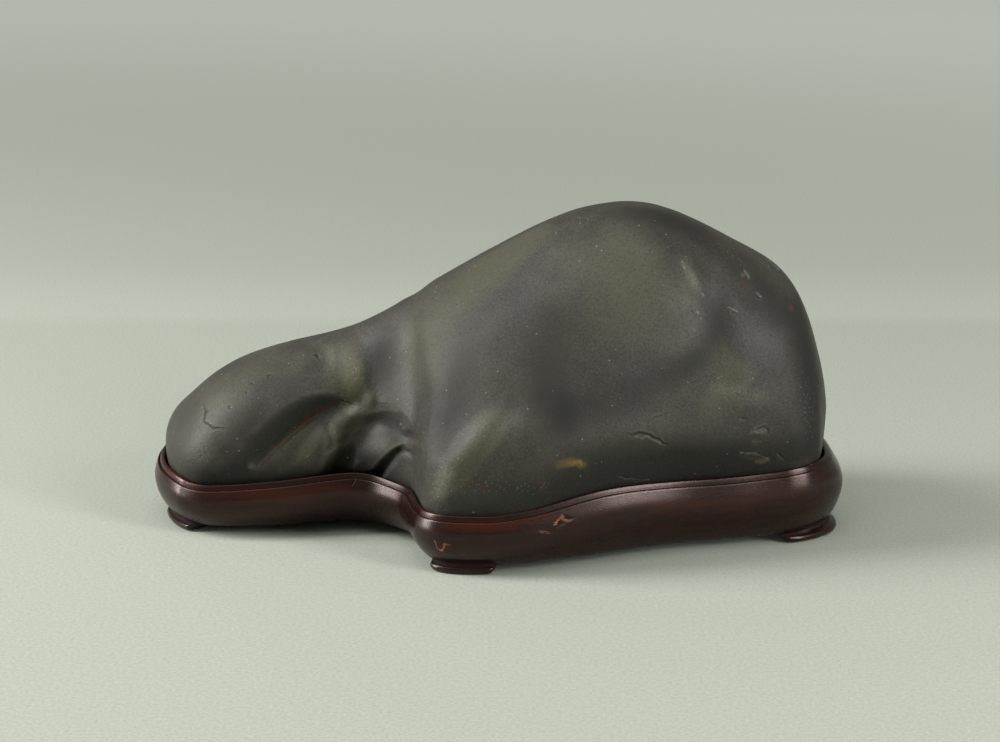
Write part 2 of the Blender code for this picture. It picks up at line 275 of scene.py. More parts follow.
# The stone's broad forms.
STONE_FORMS = {
    "front": [
        # the edge of the dome's broad face, the shallow valley that rings it, and the ridge outside that
        (0.0, [(672, 244, 7, 6, 0), (686, 262, 8, 6, 0.4), (697, 280, 8, 6, 0.6), (704, 300, 8, 7, 0.4),
               (705, 318, 7, 0.2), (697, 341, 7, 8, 0)]),
        (0.0, [(690, 246, 6, 0), (706, 266, 9, 8, -0.8), (713, 290, 10, 9, -1.1), (712, 322, 12, 11, -1.0),
               (700, 352, 14, 13, -0.8), (680, 378, 16, 15, -0.8), (650, 397, 16, -0.9),
               (615, 408, 16, 15, -1.0), (578, 415, 16, 14, -1.0), (540, 411, 16, 14, -0.8),
               (505, 402, 12, 10, 0)]),
        (0.0, [(722, 285, 9, 0), (738, 322, 13, 12, 0.8), (746, 362, 15, 14, 1.1), (748, 394, 14, 13, 0.9),
               (736, 424, 12, 0)]),
        (0.0, [(706, 426, 10, 0), (640, 434, 12, 11, 0.5), (585, 438, 12, 10, 0.5), (540, 440, 9, 0)]),
        (0.2, [(733, 266, 5, 6, 0), (742, 280, 6, 8, -1.1), (752, 297, 6, 7, -0.8), (760, 312, 5, 0)]),
        (0.6, [(700, 226, 2, 1, 0), (718, 234, 3.2, 1.4, -0.7), (738, 242, 2, 1, 0)]),
        # the knee at the dome's front left, and the dip behind it
        (0.0, [(522, 398, 9, 8, 0), (497, 422, 12, 10, 2.2), (470, 450, 12, 10, 2.0), (446, 480, 9, 1.2),
               (438, 496, 8, 0.5)]),
        (0.0, [(536, 426, 9, 0), (518, 450, 12, 10, -1.5), (490, 480, 11, 9, -1.5), (470, 500, 6, 8, 0)]),
        # the lit rib above the groove, and the shaded slope at its right
        (0.0, [(347, 336, 6, 4, 0), (353, 360, 9, 8, 1.0), (354, 382, 8, 1.0), (348, 397, 4, 0)]),
        (0.1, [(322, 343, 4, 0), (324, 358, 6, -1.1), (321, 376, 5, 0)]),
        (0.0, [(392, 332, 10, 8, 0), (393, 348, 14, 13, -1.2), (390, 368, 15, 13, -1.8),
               (386, 386, 13, 11, -1.4), (382, 402, 8, 7, 0)]),
        (0.0, [(369, 401, 4.5, 0.9)]),
        # the low lobe's soft upper edge
        (0.3, [(222, 372, 4, 3, 0), (240, 360, 6, 4, -0.5), (275, 360, 6, 4, -0.6), (305, 353, 4, 3, 0)]),
    ],
    "back": [
        (0.1, [(26, 122, 10, 12, 0), (38, 92, 15, 13, -2.6), (47, 64, 17, 14, -3.4), (52, 40, 12, -1.2)]),
        (0.0, [(-98, 128, 12, 0), (-84, 100, 16, 18, -2.4), (-66, 78, 17, 16, -2.2), (-38, 66, 12, 0)]),
        (0.3, [(-132, 96, 5, 8, 0), (-122, 78, 8, 12, -2.0), (-116, 58, 7, 12, -1.6),
               (-118, 44, 5, 8, 0)]),
        (0.0, [(-22, 96, 14, 0), (-14, 74, 16, 15, 1.8), (-20, 52, 12, 0)]),
        (0.4, [(96, 84, 4, 7, 0), (108, 72, 6, 10, -1.4), (112, 56, 6, 10, -1.2), (106, 42, 4, 7, 0)]),
        (0.0, [(134, 60, 9, -1.2)]),
    ],
    "top": [
        (0.2, [(-20, 62, 6, 0), (-30, 44, 9, 8, -1.4), (-36, 24, 9, 8, -1.0), (-38, 8, 6, 0)]),
        (0.0, [(88, 40, 13, -1.1)]), (0.0, [(-100, 52, 14, 12, -1.2)]),
    ],
    "right": [
        (0.2, [(8, 112, 6, 0), (14, 90, 9, -1.4), (10, 66, 9, -1.2), (14, 50, 6, 0)]),
        (0.0, [(42, 74, 12, 1.0)]),
    ],
    "left": [
        (0.1, [(-58, 60, 7, 0), (-44, 50, 10, 9, -1.2), (-30, 44, 7, 0)]),
    ],
}

# The deep notch at the front, between the low lobe and the dome.
NOTCH = {
    "front": [
        # the diagonal groove: a steep upper wall, and a knob below it that lies deeper than the lobe above
        (0.8, [(357, 401, 2, 0), (345, 404, 8, 4, -1.8), (335, 406, 12, 7, -3.8), (319, 414, 16, 11, -6.4),
               (306, 423, 19, 13, -8.0), (291, 435, 21, 14, -8.6), (277, 449, 20, 14, -7.8),
               (264, 460, 17, 14, -6.0), (254, 470, 14, 12, -3.8), (246, 484, 9, 10, -1.8)]),
        (1.0, [(345, 404, 0.8, 1.2, 0), (319, 414, 1.2, 2.4, -1.2), (291, 435, 1.4, 2.8, -1.4),
               (264, 460, 1.2, 2.4, -1.0), (250, 478, 0.8, 1.2, 0)]),
        (0.1, [(243, 450, 7, 0), (228, 465, 9, -1.0), (214, 481, 8, -0.8)]),
        (0.0, [(252, 467, 4, 0.7)]),
        # the knob below the groove, and the scar at its right
        (0.0, [(336, 418, 5, 1.2), (322, 434, 8, 2.4), (304, 452, 8, 2.2), (282, 470, 6, 0.8)]),
        (0.0, [(378, 405, 4, 0), (362, 411, 5, 1.4), (347, 420, 6, 2.0), (337, 433, 6, 1.8),
               (331, 450, 6, 5, 1.0)]),
        (1.0, [(318, 422, 0.8, 0.6, 0), (325, 427, 3.4, 0.6, -1.0), (329, 436, 3.8, 0.6, -1.6),
               (330.5, 446, 3.6, 0.6, -1.2), (327, 454, 1, 0.6, 0)]),
        # the second knob stands out below a shaded crease
        (0.0, [(382, 446, 9.5, 1.8)]),
        (0.3, [(366, 422, 3, 5, -0.4), (375, 420, 3.6, 9, -1.8), (386, 419, 4.4, 10, -3.0),
               (398, 422, 5, 8, -3.0), (406, 432, 4, 6, -2.0), (408, 443, 3, 4, 0)]),
        # the two dark pockets that open on the stand's rim
        (0.2, [(352, 445, 2, -0.6), (350, 450, 4.2, -3.0), (345, 457, 6.2, -5.4), (340, 466, 8, -6.6),
               (336, 482, 12, 10, -6.4)]),
        (0.0, [(359, 464, 3, 0.5)]), (0.1, [(372, 478, 5, -3.0)]),
        (0.2, [(407, 446, 1.2, 1.4, 0), (400, 450, 2.2, 2.6, -3.4), (391, 459, 2.8, 3.6, -6.0),
               (382, 470, 3.2, 4.2, -7.0), (374, 482, 3.6, 5, -7.0)]),
        (0.6, [(399, 450, 1.5, -1.8), (409, 452, 1.6, 2.2, -2.0), (416, 458, 1.4, 2.4, -1.4),
               (419, 466, 1, 2, 0)]),
        # the facet behind the dome's upright left edge, and the dimple above it
        (0.8, [(417, 453, 0.8, 3, 0), (419, 462, 1.0, 5, -2.0), (420, 474, 1.0, 6, -2.8),
               (420, 498, 1.0, 6, -2.8)]),
        (0.4, [(402, 431, 1.8, 0), (410, 434, 2.6, -2.4), (419, 438, 2.2, -1.6)]),
    ],
}

# Cracks, pits and chips.
STONE_SCARS = {
    "front": [
        (1.0, [(628, 433.5, 0.6, 0.5, 0), (634, 433.5, 1.0, 0.5, -0.5), (645, 434.3, 1.1, 0.6, -0.7),
               (656, 438, 1.0, 0.6, -0.6), (662, 442, 0.8, 0.5, -0.5), (668, 445, 0.6, 0.5, 0)]),
        (1.0, [(671, 412.5, 0.5, 0), (659, 416.5, 0.7, 0.5, -0.35), (651, 420, 0.7, 0.5, -0.35),
               (643, 430, 0.6, 0.5, 0)]),
        (1.0, [(749, 433.5, 0.7, 0.6, 0), (754, 429.5, 0.8, 1.8, -0.9), (760, 427.4, 0.8, 2.2, -1.1),
               (767, 428.7, 0.8, 1.8, -0.9), (769.5, 435, 0.6, 0.8, 0)]),
        (1.0, [(737, 418, 0.6, 0), (742, 418.8, 0.8, -0.6), (747, 418.2, 0.6, 0)]),
        (1.0, [(751, 443, 0.6, 0), (757, 442.5, 0.9, 1.1, -0.6), (763, 443, 0.6, 0)]),
        (0.9, [(738, 453, 0.7, 0.9, 0), (750, 454.5, 1.0, 2.4, -0.9), (762, 458, 1.0, 2.6, -0.9),
               (772, 460, 0.6, 0.9, 0)]),
        (0.7, [(776, 453, 1.0, 0), (780, 457, 1.8, -1.0), (785, 462, 1.0, 0)]),
        (0.8, [(728, 309, 0.8, 0), (733, 311, 1.2, 0.8, -0.4), (739, 315, 0.8, 0)]),
        (0.8, [(742, 268, 0.6, 0), (746, 274, 1.0, -0.4), (750, 280, 0.8, 0)]),
        (0.8, [(755, 293, 0.6, 0), (759, 296, 1.0, 1.3, -0.5), (763, 299, 0.6, 0)]),
        (0.6, [(766, 258, 0.8, 0), (771, 262, 1.2, -0.4), (779, 269, 1.0, 0)]),
        (0.6, [(786, 303, 1.0, 0), (792, 310, 2.0, -0.7), (795, 318, 1.0, 0)]),
        (1.0, [(200, 398, 0.5, 0), (204, 404, 0.8, -0.5), (207, 411, 0.9, -0.6), (205, 421, 0.8, -0.5),
               (212, 427, 0.9, 0.8, -0.6), (222, 428, 0.8, -0.4), (230, 429.5, 0.5, 0)]),
        (0.8, [(268, 380, 0.6, -0.2), (268.5, 376, 0.7, 0.8, -0.4), (272.5, 374.5, 0.6, -0.2)]),
        (0.5, [(252.7, 383.4, 0.8, -0.35)]), (0.5, [(247, 392.3, 0.8, -0.3)]),
        (0.5, [(230, 407.5, 1.0, -0.5)]),
        (0.8, [(313, 355, 0.6, 0), (318, 357, 1.0, 1.2, -0.5), (322, 360, 0.6, 0)]),
        (0.5, [(339, 399.5, 0.8, 0), (349, 402, 1.0, 1.2, -0.7), (357, 404.5, 0.7, 0)]),
        (1.0, [(425.5, 409, 0.5, 0), (420, 416.5, 0.8, -0.5), (414.5, 424, 0.5, 0)]),
        (0.6, [(459, 479, 1.2, -0.4)]), (0.6, [(484, 491, 1.2, -0.4)]),
        (1.0, [(617, 476, 0.5, 0), (632, 479.5, 0.7, 0.8, -0.4), (648, 481, 0.5, 0)]),
    ],
    "back": [
        (1.0, [(-96, 92, 0.8, 0), (-84, 88, 1.6, 1.4, -1.0), (-70, 90, 1.7, 1.4, -1.1),
               (-58, 84, 0.8, 0)]),
        (1.0, [(70, 66, 0.8, 0), (80, 60, 1.5, 1.4, -0.9), (86, 50, 1.4, -0.8), (84, 42, 0.8, 0)]),
        (0.5, [(-30, 104, 2.0, -1.0)]), (0.5, [(12, 70, 1.8, -0.9)]), (0.5, [(118, 64, 1.8, -0.9)]),
        (0.7, [(-112, 60, 1.0, 0), (-106, 54, 2.4, 2.0, -1.1), (-98, 52, 1.0, 0)]),
    ],
    "top": [
        (0.6, [(-112, 40, 1.0, 0), (-104, 34, 2.0, 1.8, -0.9), (-98, 26, 1.0, 0)]),
        (0.5, [(30, 40, 1.8, -0.8)]),
    ],
    "right": [
        (1.0, [(-2, 98, 0.8, 0), (4, 84, 1.5, 1.4, -0.9), (2, 70, 1.4, 1.3, -0.8), (6, 60, 0.8, 0)]),
        (0.5, [(34, 92, 1.9, -0.9)]),
    ],
    "left": [
        (1.0, [(-52, 62, 0.8, 0), (-44, 56, 1.3, 1.2, -0.7), (-38, 46, 0.8, 0)]),
    ],
}

# What is painted on the stone; a rise of 1 is full strength.
GRIME_AND_SHADE = {
    "front": [
        # painted shade along the stone's foot on the right, where it turns under above the rim
        (0.0, [(462, 512, 14, 7, 0.5), (500, 508, 20, 7, 0.8), (545, 498, 23, 7, 1.0),
               (585, 489, 25, 7, 1.2), (640, 480, 26, 7, 1.35), (700, 473, 25, 7, 1.3),
               (760, 465, 20, 7, 1.0), (815, 452, 16, 7, 0.9)]),
        # painted shade along the foot on the left, above the rim
        (0.0, [(165, 462, 5, 0), (205, 478, 9, 5, 0.9), (250, 482, 9, 5, 1.0), (310, 478, 8, 5, 0.9),
               (350, 470, 12, 5, 1.0), (385, 474, 9, 5, 0.9), (410, 490, 4, 0.6)]),
        # painted shade on the groove's upper wall, deepening its real shade
        (0.0, [(342, 402, 2, 3, 0.7), (325, 405, 3, 8, 1.2), (303, 417, 4, 12, 1.3),
               (283, 432, 4, 15, 1.2), (262, 450, 4, 16, 1.1), (240, 468, 6, 14, 0.9)]),
        # painted shade on the knob below the groove
        (0.0, [(300, 440, 7, 3, 0.2), (278, 460, 7, 3, 0.4), (262, 472, 5, 3, 0.3)]),
        # painted shade on the dome's top band, which faces away from the light
        (0.0, [(610, 208, 9, 7, 0.2), (650, 214, 9, 0.8), (690, 230, 9, 10, 0.7), (722, 252, 9, 8, 0.6),
               (756, 280, 10, 0.6), (780, 316, 9, 12, 0.5)]),
        # painted shade in the pockets, on the second knob and in the crease above it
        (0.0, [(352, 448, 4, 0.6), (346, 466, 9, 1.1), (336, 474, 7, 0.8)]),
        (0.0, [(366, 424, 3, 5, 0.3), (362, 434, 7, 4, 0.5), (356, 443, 6, 4, 0.4)]),
        (0.2, [(402, 450, 3, 0.8), (391, 459, 4, 5, 1.0), (380, 474, 5, 6, 1.0)]),
        (0.0, [(368, 421, 2, 3, 0.3), (382, 420, 3, 4, 0.8), (398, 425, 4, 0.7)]),
        # painted shade on the slope at the right of the rib
        (0.0, [(386, 334, 10, 9, 0.4), (384, 356, 13, 10, 0.65), (383, 376, 13, 9, 0.65),
               (392, 396, 8, 6, 0.2)]),
        # painted shade on the turned-under part of the dome, and in the valley round its broad face
        (0.0, [(474, 336, 13, 0.2), (464, 366, 17, 15, 0.5), (455, 396, 14, 0.65), (446, 422, 10, 12, 0.6),
               (440, 446, 7, 8, 0.3)]),
        (0.0, [(556, 318, 16, 14, 0.4), (552, 350, 18, 0.5), (548, 392, 18, 0.6), (556, 425, 15, 0.6)]),
        (0.0, [(703, 298, 7, 6, 0.2), (716, 322, 9, 0.5), (709, 346, 9, 10, 0.5), (690, 364, 9, 11, 0.6),
               (655, 384, 12, 13, 0.3), (612, 400, 15, 0.3), (575, 412, 15, 0.4)]),
        # painted shade in the dimple, along the facet's edge, on the low lobe's far left, on the groove's
        # upper wall, on the second knob's right side and along the stone's right edge
        (0.0, [(402, 432, 2, 0.9), (410, 434.5, 2.4, 2.2, 1.6), (419, 437, 2, 1.8, 1.2)]),
        (0.1, [(419, 456, 1.2, 2.0, 0.6), (418, 474, 1.4, 2.4, 1.1), (418, 496, 1.4, 2.4, 1.1)]),
        (0.0, [(196, 398, 10, 0.2), (184, 424, 10, 0.5), (176, 446, 8, 0.5)]),
        (0.0, [(262, 408, 5, 9, 0.5), (244, 428, 5, 9, 0.6), (224, 446, 6, 8, 0.4)]),
        (0.0, [(388, 410, 5, 6, 0.3), (396, 430, 6, 0.6), (392, 448, 5, 0.5)]),
        (0.0, [(802, 310, 8, 12, 0.8), (812, 345, 8, 14, 1.1), (818, 400, 8, 12, 1.0),
               (822, 450, 8, 9, 0.9)]),
        # dirt in the cracks, scratches and pits
        (0.5, [(630, 434, 0.7, 0.6, 0.9), (645, 434.6, 0.8, 0.7, 1.0), (656, 438.2, 0.8, 0.7, 1.0),
               (667, 444.5, 0.6, 0.5, 0.8)]),
        (0.5, [(204, 404, 0.6, 0.6), (207, 411, 0.7, 0.8), (205, 421, 0.7, 0.8), (212, 427, 0.7, 0.7),
               (226, 429, 0.5, 0.5)]),
        (0.5, [(268, 380, 0.5, 0.6), (268.5, 376, 0.6, 0.9), (272.5, 374.5, 0.5, 0.6)]),
        (0.2, [(252.7, 383.4, 0.7, 0.8)]), (0.2, [(247, 392.3, 0.7, 0.8)]),
        (0.2, [(314, 355, 0.6, 0.6), (318, 357, 0.9, 0.9)]),
        # darker in the small dip left of the rib
        (0.0, [(312, 352, 5, 0.4), (308, 368, 5, 0.4)]),
        # dirt in the cracks and scratches
        (0.5, [(339, 399.5, 0.6, 0.9, 0.6), (349, 401.5, 0.8, 1.0), (356, 402, 0.6, 0.7)]),
        (0.5, [(425.5, 409, 0.5, 0.7), (414.5, 424, 0.5, 0.7)]),
    ],
    "back": [
        # darker round the stone's foot at the back
        (0.0, [(-140, 44, 7, 16, 0.8), (-60, 40, 7, 18, 1.0), (40, 36, 7, 15, 0.9),
               (140, 34, 7, 10, 0.6)]),
    ],
}
PATINA_AND_LIGHT = {
    "front": [
        # painted light, paler where the light falls: the dome's broad face and its left flank
        (0.0, [(560, 250, 10, 0.3), (612, 276, 22, 20, 1.0), (654, 292, 22, 20, 1.1),
               (682, 300, 12, 14, 0.8)]),
        (0.0, [(598, 316, 14, 0.4), (636, 330, 16, 0.8), (664, 338, 13, 0.6)]),
        (0.0, [(590, 236, 10, 0.2), (615, 240, 14, 10, 0.8), (648, 254, 12, 8, 0.8)]),
        (0.0, [(540, 226, 10, 9, 1.2), (500, 256, 14, 12, 1.4), (458, 298, 14, 15, 1.0),
               (424, 335, 14, 0.9), (420, 374, 12, 0.7)]),
        (0.0, [(684, 262, 5, 7, 0.5), (692, 280, 5, 8, 1.0)]),
        # painted highlights on the knee, and on the ridge on the right
        (0.0, [(510, 408, 8, 7, 0), (488, 430, 10, 2.6), (472, 456, 9, 2.0), (450, 478, 9, 2.4),
               (438, 494, 6, 0.8)]),
        (0.0, [(720, 352, 9, 0.5), (736, 384, 14, 1.6), (712, 408, 10, 0.9), (765, 396, 8, 0.5)]),
        # painted light on the rib and the low lobe
        (0.0, [(318, 350, 9, 8, 0.6), (346, 362, 8, 0.9), (356, 386, 6, 8, 2.4), (363, 397, 6, 3.0)]),
        (0.0, [(295, 362, 8, 0.5), (250, 374, 9, 10, 0.8), (222, 396, 11, 12, 0.8),
               (200, 418, 11, 12, 0.6), (178, 440, 9, 0.8)]),
        # the lit edges in the notch
        (0.0, [(368, 408, 4, 2.0), (354, 413, 7, 6, 3.0), (337, 430, 5, 6, 2.8), (330, 450, 5, 1.6),
               (326, 470, 5, 4, 1.2)]),
        (0.0, [(384, 447, 6, 0.8)]), (0.0, [(312, 436, 9, 1.8), (304, 454, 8, 7, 0.9)]),
        (0.0, [(352, 402, 4, 5, 1.6), (346, 424, 5, 6, 2.4), (358, 424, 4, 1.6)]),
        (0.0, [(402, 478, 5, 0.3)]),
    ],
    "back": [
        (0.0, [(-60, 112, 20, 0.9), (-10, 98, 22, 20, 0.7), (30, 78, 20, 0.6)]),
        (0.0, [(110, 70, 16, 0.8)]),
    ],
    "top": [
        (0.0, [(20, 30, 22, 0.6)]), (0.0, [(-110, 20, 18, 0.6)]),
    ],
    "right": [
        (0.0, [(30, 80, 18, 0.6)]),
    ],
    "left": [
        (0.0, [(-20, 50, 14, 0.6)]),
    ],
}
SPECKLE = {
    "front": [
        (0.0, [(700, 384, 8, 0.3), (736, 392, 10, 9, 1.0), (764, 396, 6, 0.5)]),
        (0.0, [(798, 366, 4, 5, 0.6), (806, 402, 5, 1.0), (812, 438, 4, 5, 0.8)]),
        (0.0, [(690, 238, 5, 0.3), (726, 252, 6, 7, 0.6), (760, 262, 5, 0.5)]),
        (0.0, [(484, 428, 8, 0.7)]), (0.0, [(436, 470, 5, 6, 0.8), (432, 500, 5, 0.6)]),
        (0.0, [(465, 486, 7, 6, 0.8), (545, 486, 7, 5, 0.5)]), (0.0, [(610, 392, 9, 0.5)]),
    ],
}
TAN = {
    "front": [
        (0.0, [(352, 345, 4, 5, 0.3), (355, 365, 5, 6, 0.7), (354, 388, 5, 6, 0.7), (349, 398, 4, 0.3)]),
        (0.0, [(335, 350, 8, 7, 0.35), (333, 385, 8, 7, 0.45)]),
        (0.2, [(340, 403, 2, 0.5), (356, 407, 3, 0.6)]), (0.0, [(300, 436, 5, 0.3), (280, 456, 5, 4, 0.4)]),
        (0.2, [(414, 443, 2.0, 1.1), (421, 445, 2.0, 0.8)]),
        (0.0, [(757, 462, 1.5, 0.5), (768, 460, 1.8, 1.5, 0.8)]),
        (0.0, [(822, 395, 3, 2, 0.4), (823, 438, 3, 2, 0.5)]),
    ],
}
RUST = {
    "front": [
        (0.2, [(336, 403, 1.5, 2.2, 0.6), (319, 412, 2.0, 3.0, 0.8), (304, 423, 2.2, 3.2, 0.7),
               (288, 437, 2.0, 3.0, 0.6), (273, 451, 1.8, 2.6, 0.5), (260, 465, 1.2, 2, 0.3)]),
        (0.2, [(420, 437, 1.7, 1.0)]),
        (0.0, [(459, 481, 3, 0.3), (472, 486, 4, 0.2), (487, 490, 4, 3, 0.3)]),
        (0.1, [(543, 486, 3.4, 2.6, 0.7)]), (0.1, [(745, 287, 5, 0.35)]), (0.2, [(791, 309, 2.0, 0.9)]),
        (0.0, [(790, 350, 5, 0.3)]),
    ],
    "back": [
        (0.0, [(-84, 60, 6, 0.5), (-66, 54, 6, 5, 0.6)]), (0.0, [(46, 58, 6, 0.6)]),
    ],
}
OCHRE = {
    "front": [
        (0.0, [(558, 464, 2.2, 2.0, 0.4), (570, 463, 3.0, 2.6, 0.7), (578, 463, 2.8, 2.4, 0.8),
               (586, 466, 2.0, 0.5)]),
        (0.3, [(574, 462.5, 1.0, 0.8), (581, 463, 1.0, 0.9)]), (0.2, [(540, 483, 1.4, 0.6)]),
        (0.1, [(743, 275, 2.0, 1.6, 0.35)]),
    ],
    "back": [
        (0.1, [(-102, 70, 3.6, 0.7)]), (0.1, [(90, 44, 3, 0.6)]),
    ],
}
CHALK_AND_GLINTS = {
    "front": [
        (0.2, [(618, 276, 0.7, 0.6)]), (0.2, [(702, 295, 0.8, 0.8)]), (0.2, [(698, 313, 0.7, 0.7)]),
        (0.2, [(695, 331, 0.7, 0.6)]), (0.2, [(669, 247, 0.7, 0.6)]), (0.2, [(610, 444, 0.7, 0.6)]),
        (0.2, [(425, 451, 0.6, 1.0)]), (0.2, [(400, 424, 0.6, 1.0)]),
        (0.5, [(728, 308, 0.5, 0.2), (733, 309.5, 0.6, 0.5, 0.35), (738, 312, 0.5, 0.3)]),
        (0.5, [(744, 270, 0.4, 0.5, 0.4), (748, 275, 0.5, 0.4), (750, 279, 0.4, 0.3)]),
        (0.5, [(756, 292, 0.4, 0.5, 0.4), (762, 297, 0.4, 0.35)]),
        (0.4, [(766, 259, 0.7, 0.4), (773, 263, 0.7, 0.4), (779, 269, 0.6, 0.4)]),
        (0.5, [(635, 436.5, 0.5, 0.3), (648, 438, 0.4, 0.25), (660, 443, 0.5, 0.3)]),
        (0.5, [(751, 431, 0.4, 0.2), (760, 426, 0.4, 0.2), (768, 428, 0.4, 0.2)]),
        (0.5, [(753, 442, 0.4, 0.2), (761, 442, 0.4, 0.2)]),
        (0.5, [(740, 452.5, 0.4, 0.6, 0.3), (753, 453.5, 0.5, 0.6, 0.35), (768, 459, 0.4, 0.5, 0.3)]),
        (0.4, [(777, 454, 0.5, 0.25), (783, 460, 0.5, 0.2)]),
        (0.5, [(618, 477, 0.4, 0.15), (632, 479, 0.4, 0.2), (647, 480, 0.4, 0.15)]),
        (0.4, [(345, 400, 0.5, 0.3), (357, 403, 0.7, 0.4), (356, 409, 0.8, 0.2)]),
        # soft pale washes: chalky hatching along the lit ridge above the second knob, then painted highlights
        # on the lit face below it, on the bluish sheen low on the right, on the knee's lower edge and on the
        # streak at the right of the dome's face, with fine scratches along that streak
        (0.0, [(343, 408, 3, 0.12), (354, 411, 4, 0.3), (368, 411, 3, 0.15)]),
        (0.0, [(334, 432, 3, 4, 0.14)]),
        (0.0, [(716, 388, 5, 0.06), (740, 393, 7, 0.1), (762, 398, 5, 0.05)]),
        (0.0, [(447, 474, 6, 0.2), (441, 492, 6, 5, 0.12)]),
        (0.0, [(683, 264, 2.2, 0.08), (691, 277, 3.4, 0.15), (699, 292, 2.8, 0.08)]),
        (0.4, [(681, 260, 0.4, 0.3), (684, 266, 0.5, 0.4), (686, 271, 0.4, 0.2)]),
        # a painted highlight on the small bump at the end of the groove
        (0.0, [(252, 467, 2.4, 0.12)]),
    ],
}
STONE_PAINT = {
    "grime": GRIME_AND_SHADE, "patina": PATINA_AND_LIGHT, "speckle": SPECKLE, "tan": TAN, "rust": RUST, "ochre": OCHRE,
    "chalk": CHALK_AND_GLINTS,
}

# The stand's chips and dents, and what is painted on it.
STAND_SCARS = {
    "front": [
        (0.7, [(554, 525, 0.6, 0), (559, 521, 1.2, 1.3, -0.4), (564, 517, 1.3, 1.2, -0.5),
               (571, 519, 0.6, 0)]),
        (0.7, [(434.4, 541, 0.5, 0), (437, 548, 0.8, -0.4), (441, 550, 0.7, -0.3), (445, 544, 0.5, 0)]),
        (1.0, [(538, 529.5, 0.4, 0), (545, 531, 0.6, -0.3), (552, 533, 0.4, 0)]),
        (0.8, [(351, 486, 0.5, 0), (353.5, 482, 0.6, -0.2), (355, 480, 0.4, 0)]),
    ],
    "back": [
        (0.7, [(-60, 28, 0.8, 0), (-54, 26, 2.4, 2.0, -0.8), (-46, 27, 0.8, 0)]),
        (0.7, [(78, 16, 0.8, 0), (84, 15, 1.6, -0.7), (88, 17, 0.8, 0)]),
    ],
    "right": [
        (0.7, [(20, 24, 0.8, 0), (25, 22, 1.8, 1.6, -0.6), (31, 23, 0.8, 0)]),
    ],
}
BARE_WOOD = {
    "front": [
        (0.5, [(554, 525, 0.4, 0.4), (559, 520, 0.9, 0.7, 0.9), (563, 516, 0.9, 1.0, 1.0),
               (561, 513, 0.4, 0.3)]),
        (0.5, [(563, 519, 0.6, 0.7), (568, 521, 0.6, 0.8, 0.8), (574, 519, 0.4, 0.3)]),
        (0.5, [(557, 528, 0.4, 0.3), (562, 525, 0.5, 0.7), (566, 526, 0.3, 0.3)]),
        (0.3, [(434, 540.5, 0.5, 0.7), (434.8, 545, 0.5, 1.1), (437, 549, 0.6, 0.5, 1.0)]),
        (0.3, [(438, 549, 0.4, 0.5), (441.5, 550.5, 0.6, 1.1), (443.6, 546, 0.5, 1.0),
               (444.5, 543.5, 0.5, 0.9), (448, 545, 0.5, 0.6)]),
        (0.6, [(539, 529.5, 0.4, 0.5), (545, 531, 0.5, 0.9), (551, 533, 0.4, 0.5)]),
        (0.4, [(346, 501, 0.6, 0.8)]), (0.4, [(811, 465, 0.5, 0.8)]), (0.4, [(836, 475, 0.6, 0.9)]),
        (0.4, [(647, 509, 0.4, 0.9)]),
    ],
    "back": [
        (0.6, [(-59, 28, 0.8, 0.5), (-54, 26, 1.8, 1.6, 1.0), (-47, 27, 0.8, 0.5)]),
        (0.6, [(80, 16, 1.0, 0.6), (84, 15, 1.3, 1.0)]),
    ],
    "right": [
        (0.6, [(21, 24, 0.8, 0.5), (25, 22, 1.4, 1.2, 0.9)]),
    ],
}
# painted light: the walls red-brown where they catch the light, partly the wood's own red
RED_WOOD_AND_LIGHT = {
    "front": [
        (0.0, [(215, 494, 4, 5, 0.2), (260, 494, 5, 6, 0.6), (300, 492, 5, 7, 1.0), (335, 488, 5, 7, 1.0),
               (352, 492, 4, 5, 0.4)]),
        (0.0, [(442, 525, 3, 0.3), (475, 527, 3, 4, 0.9), (510, 524, 3, 5, 0.9), (550, 514, 3, 4, 0.5)]),
        (0.0, [(655, 507, 5, 0.35), (740, 500, 6, 0.35), (800, 486, 5, 6, 0.45)]),
        (0.0, [(162, 455, 4, 5, 0.9), (174, 474, 4, 0.9), (195, 486, 4, 0.5)]),
    ],
}
STAND_PAINT = {"bare": BARE_WOOD, "glow": RED_WOOD_AND_LIGHT}


def seen_from(side, points):
    """Where each point is in the drawing of this side, in mm, and the way from it to the eye."""
    if side != "front":
        right, up = np.array(SIGHTS[side], float)
        return points @ np.stack([right, up], 1) / MM, np.tile(np.cross(right, up), (len(points), 1))
    to_eye = np.array(EYE) - points
    depth = -to_eye @ np.array(LOOK)
    across = -to_eye[:, 0] / depth * PIXELS_PER_SLOPE + PICTURE_MIDDLE[0]
    down = to_eye @ np.array(LOOK_UP) / depth * PIXELS_PER_SLOPE + PICTURE_MIDDLE[1]
    to_eye /= np.linalg.norm(to_eye, axis=1)[:, None]
    return np.stack([across, down], 1) * PIXEL_MM, to_eye


def with_both_reaches(path):
    """The path's points, each with a left and a right reach."""
    return [point if len(point) == 5 else (*point[:3], *point[2:]) for point in path]


def drawn_path(side, path, step=1.2):
    """The path's points in mm, with points between them on a smooth curve, about step mm apart."""
    path = np.array(with_both_reaches(path), float)
    if side == "front":
        path[:, :2] *= PIXEL_MM
    if len(path) == 1:
        return np.concatenate([path, path + [[0.01, 0, 0, 0, 0]]])
    ends = np.concatenate([2 * path[:1] - path[1:2], path, 2 * path[-1:] - path[-2:-1]])
    made = []
    for before, start, end, after in zip(ends, ends[1:], ends[2:], ends[3:]):
        count = max(1, int(np.linalg.norm((end - start)[:2]) / step))
        for share in np.arange(count)[:, None] / count:
            curve = (
                2 * start + (end - before) * share
                + (2 * before - 5 * start + 4 * end - after) * share ** 2
                + (3 * start - before - 3 * end + after) * share ** 3
            )
            made.append(curve / 2)
    made = np.array(made + [path[-1]])
    made[:, 2:4] = np.maximum(made[:, 2:4], 0.2)
    return made


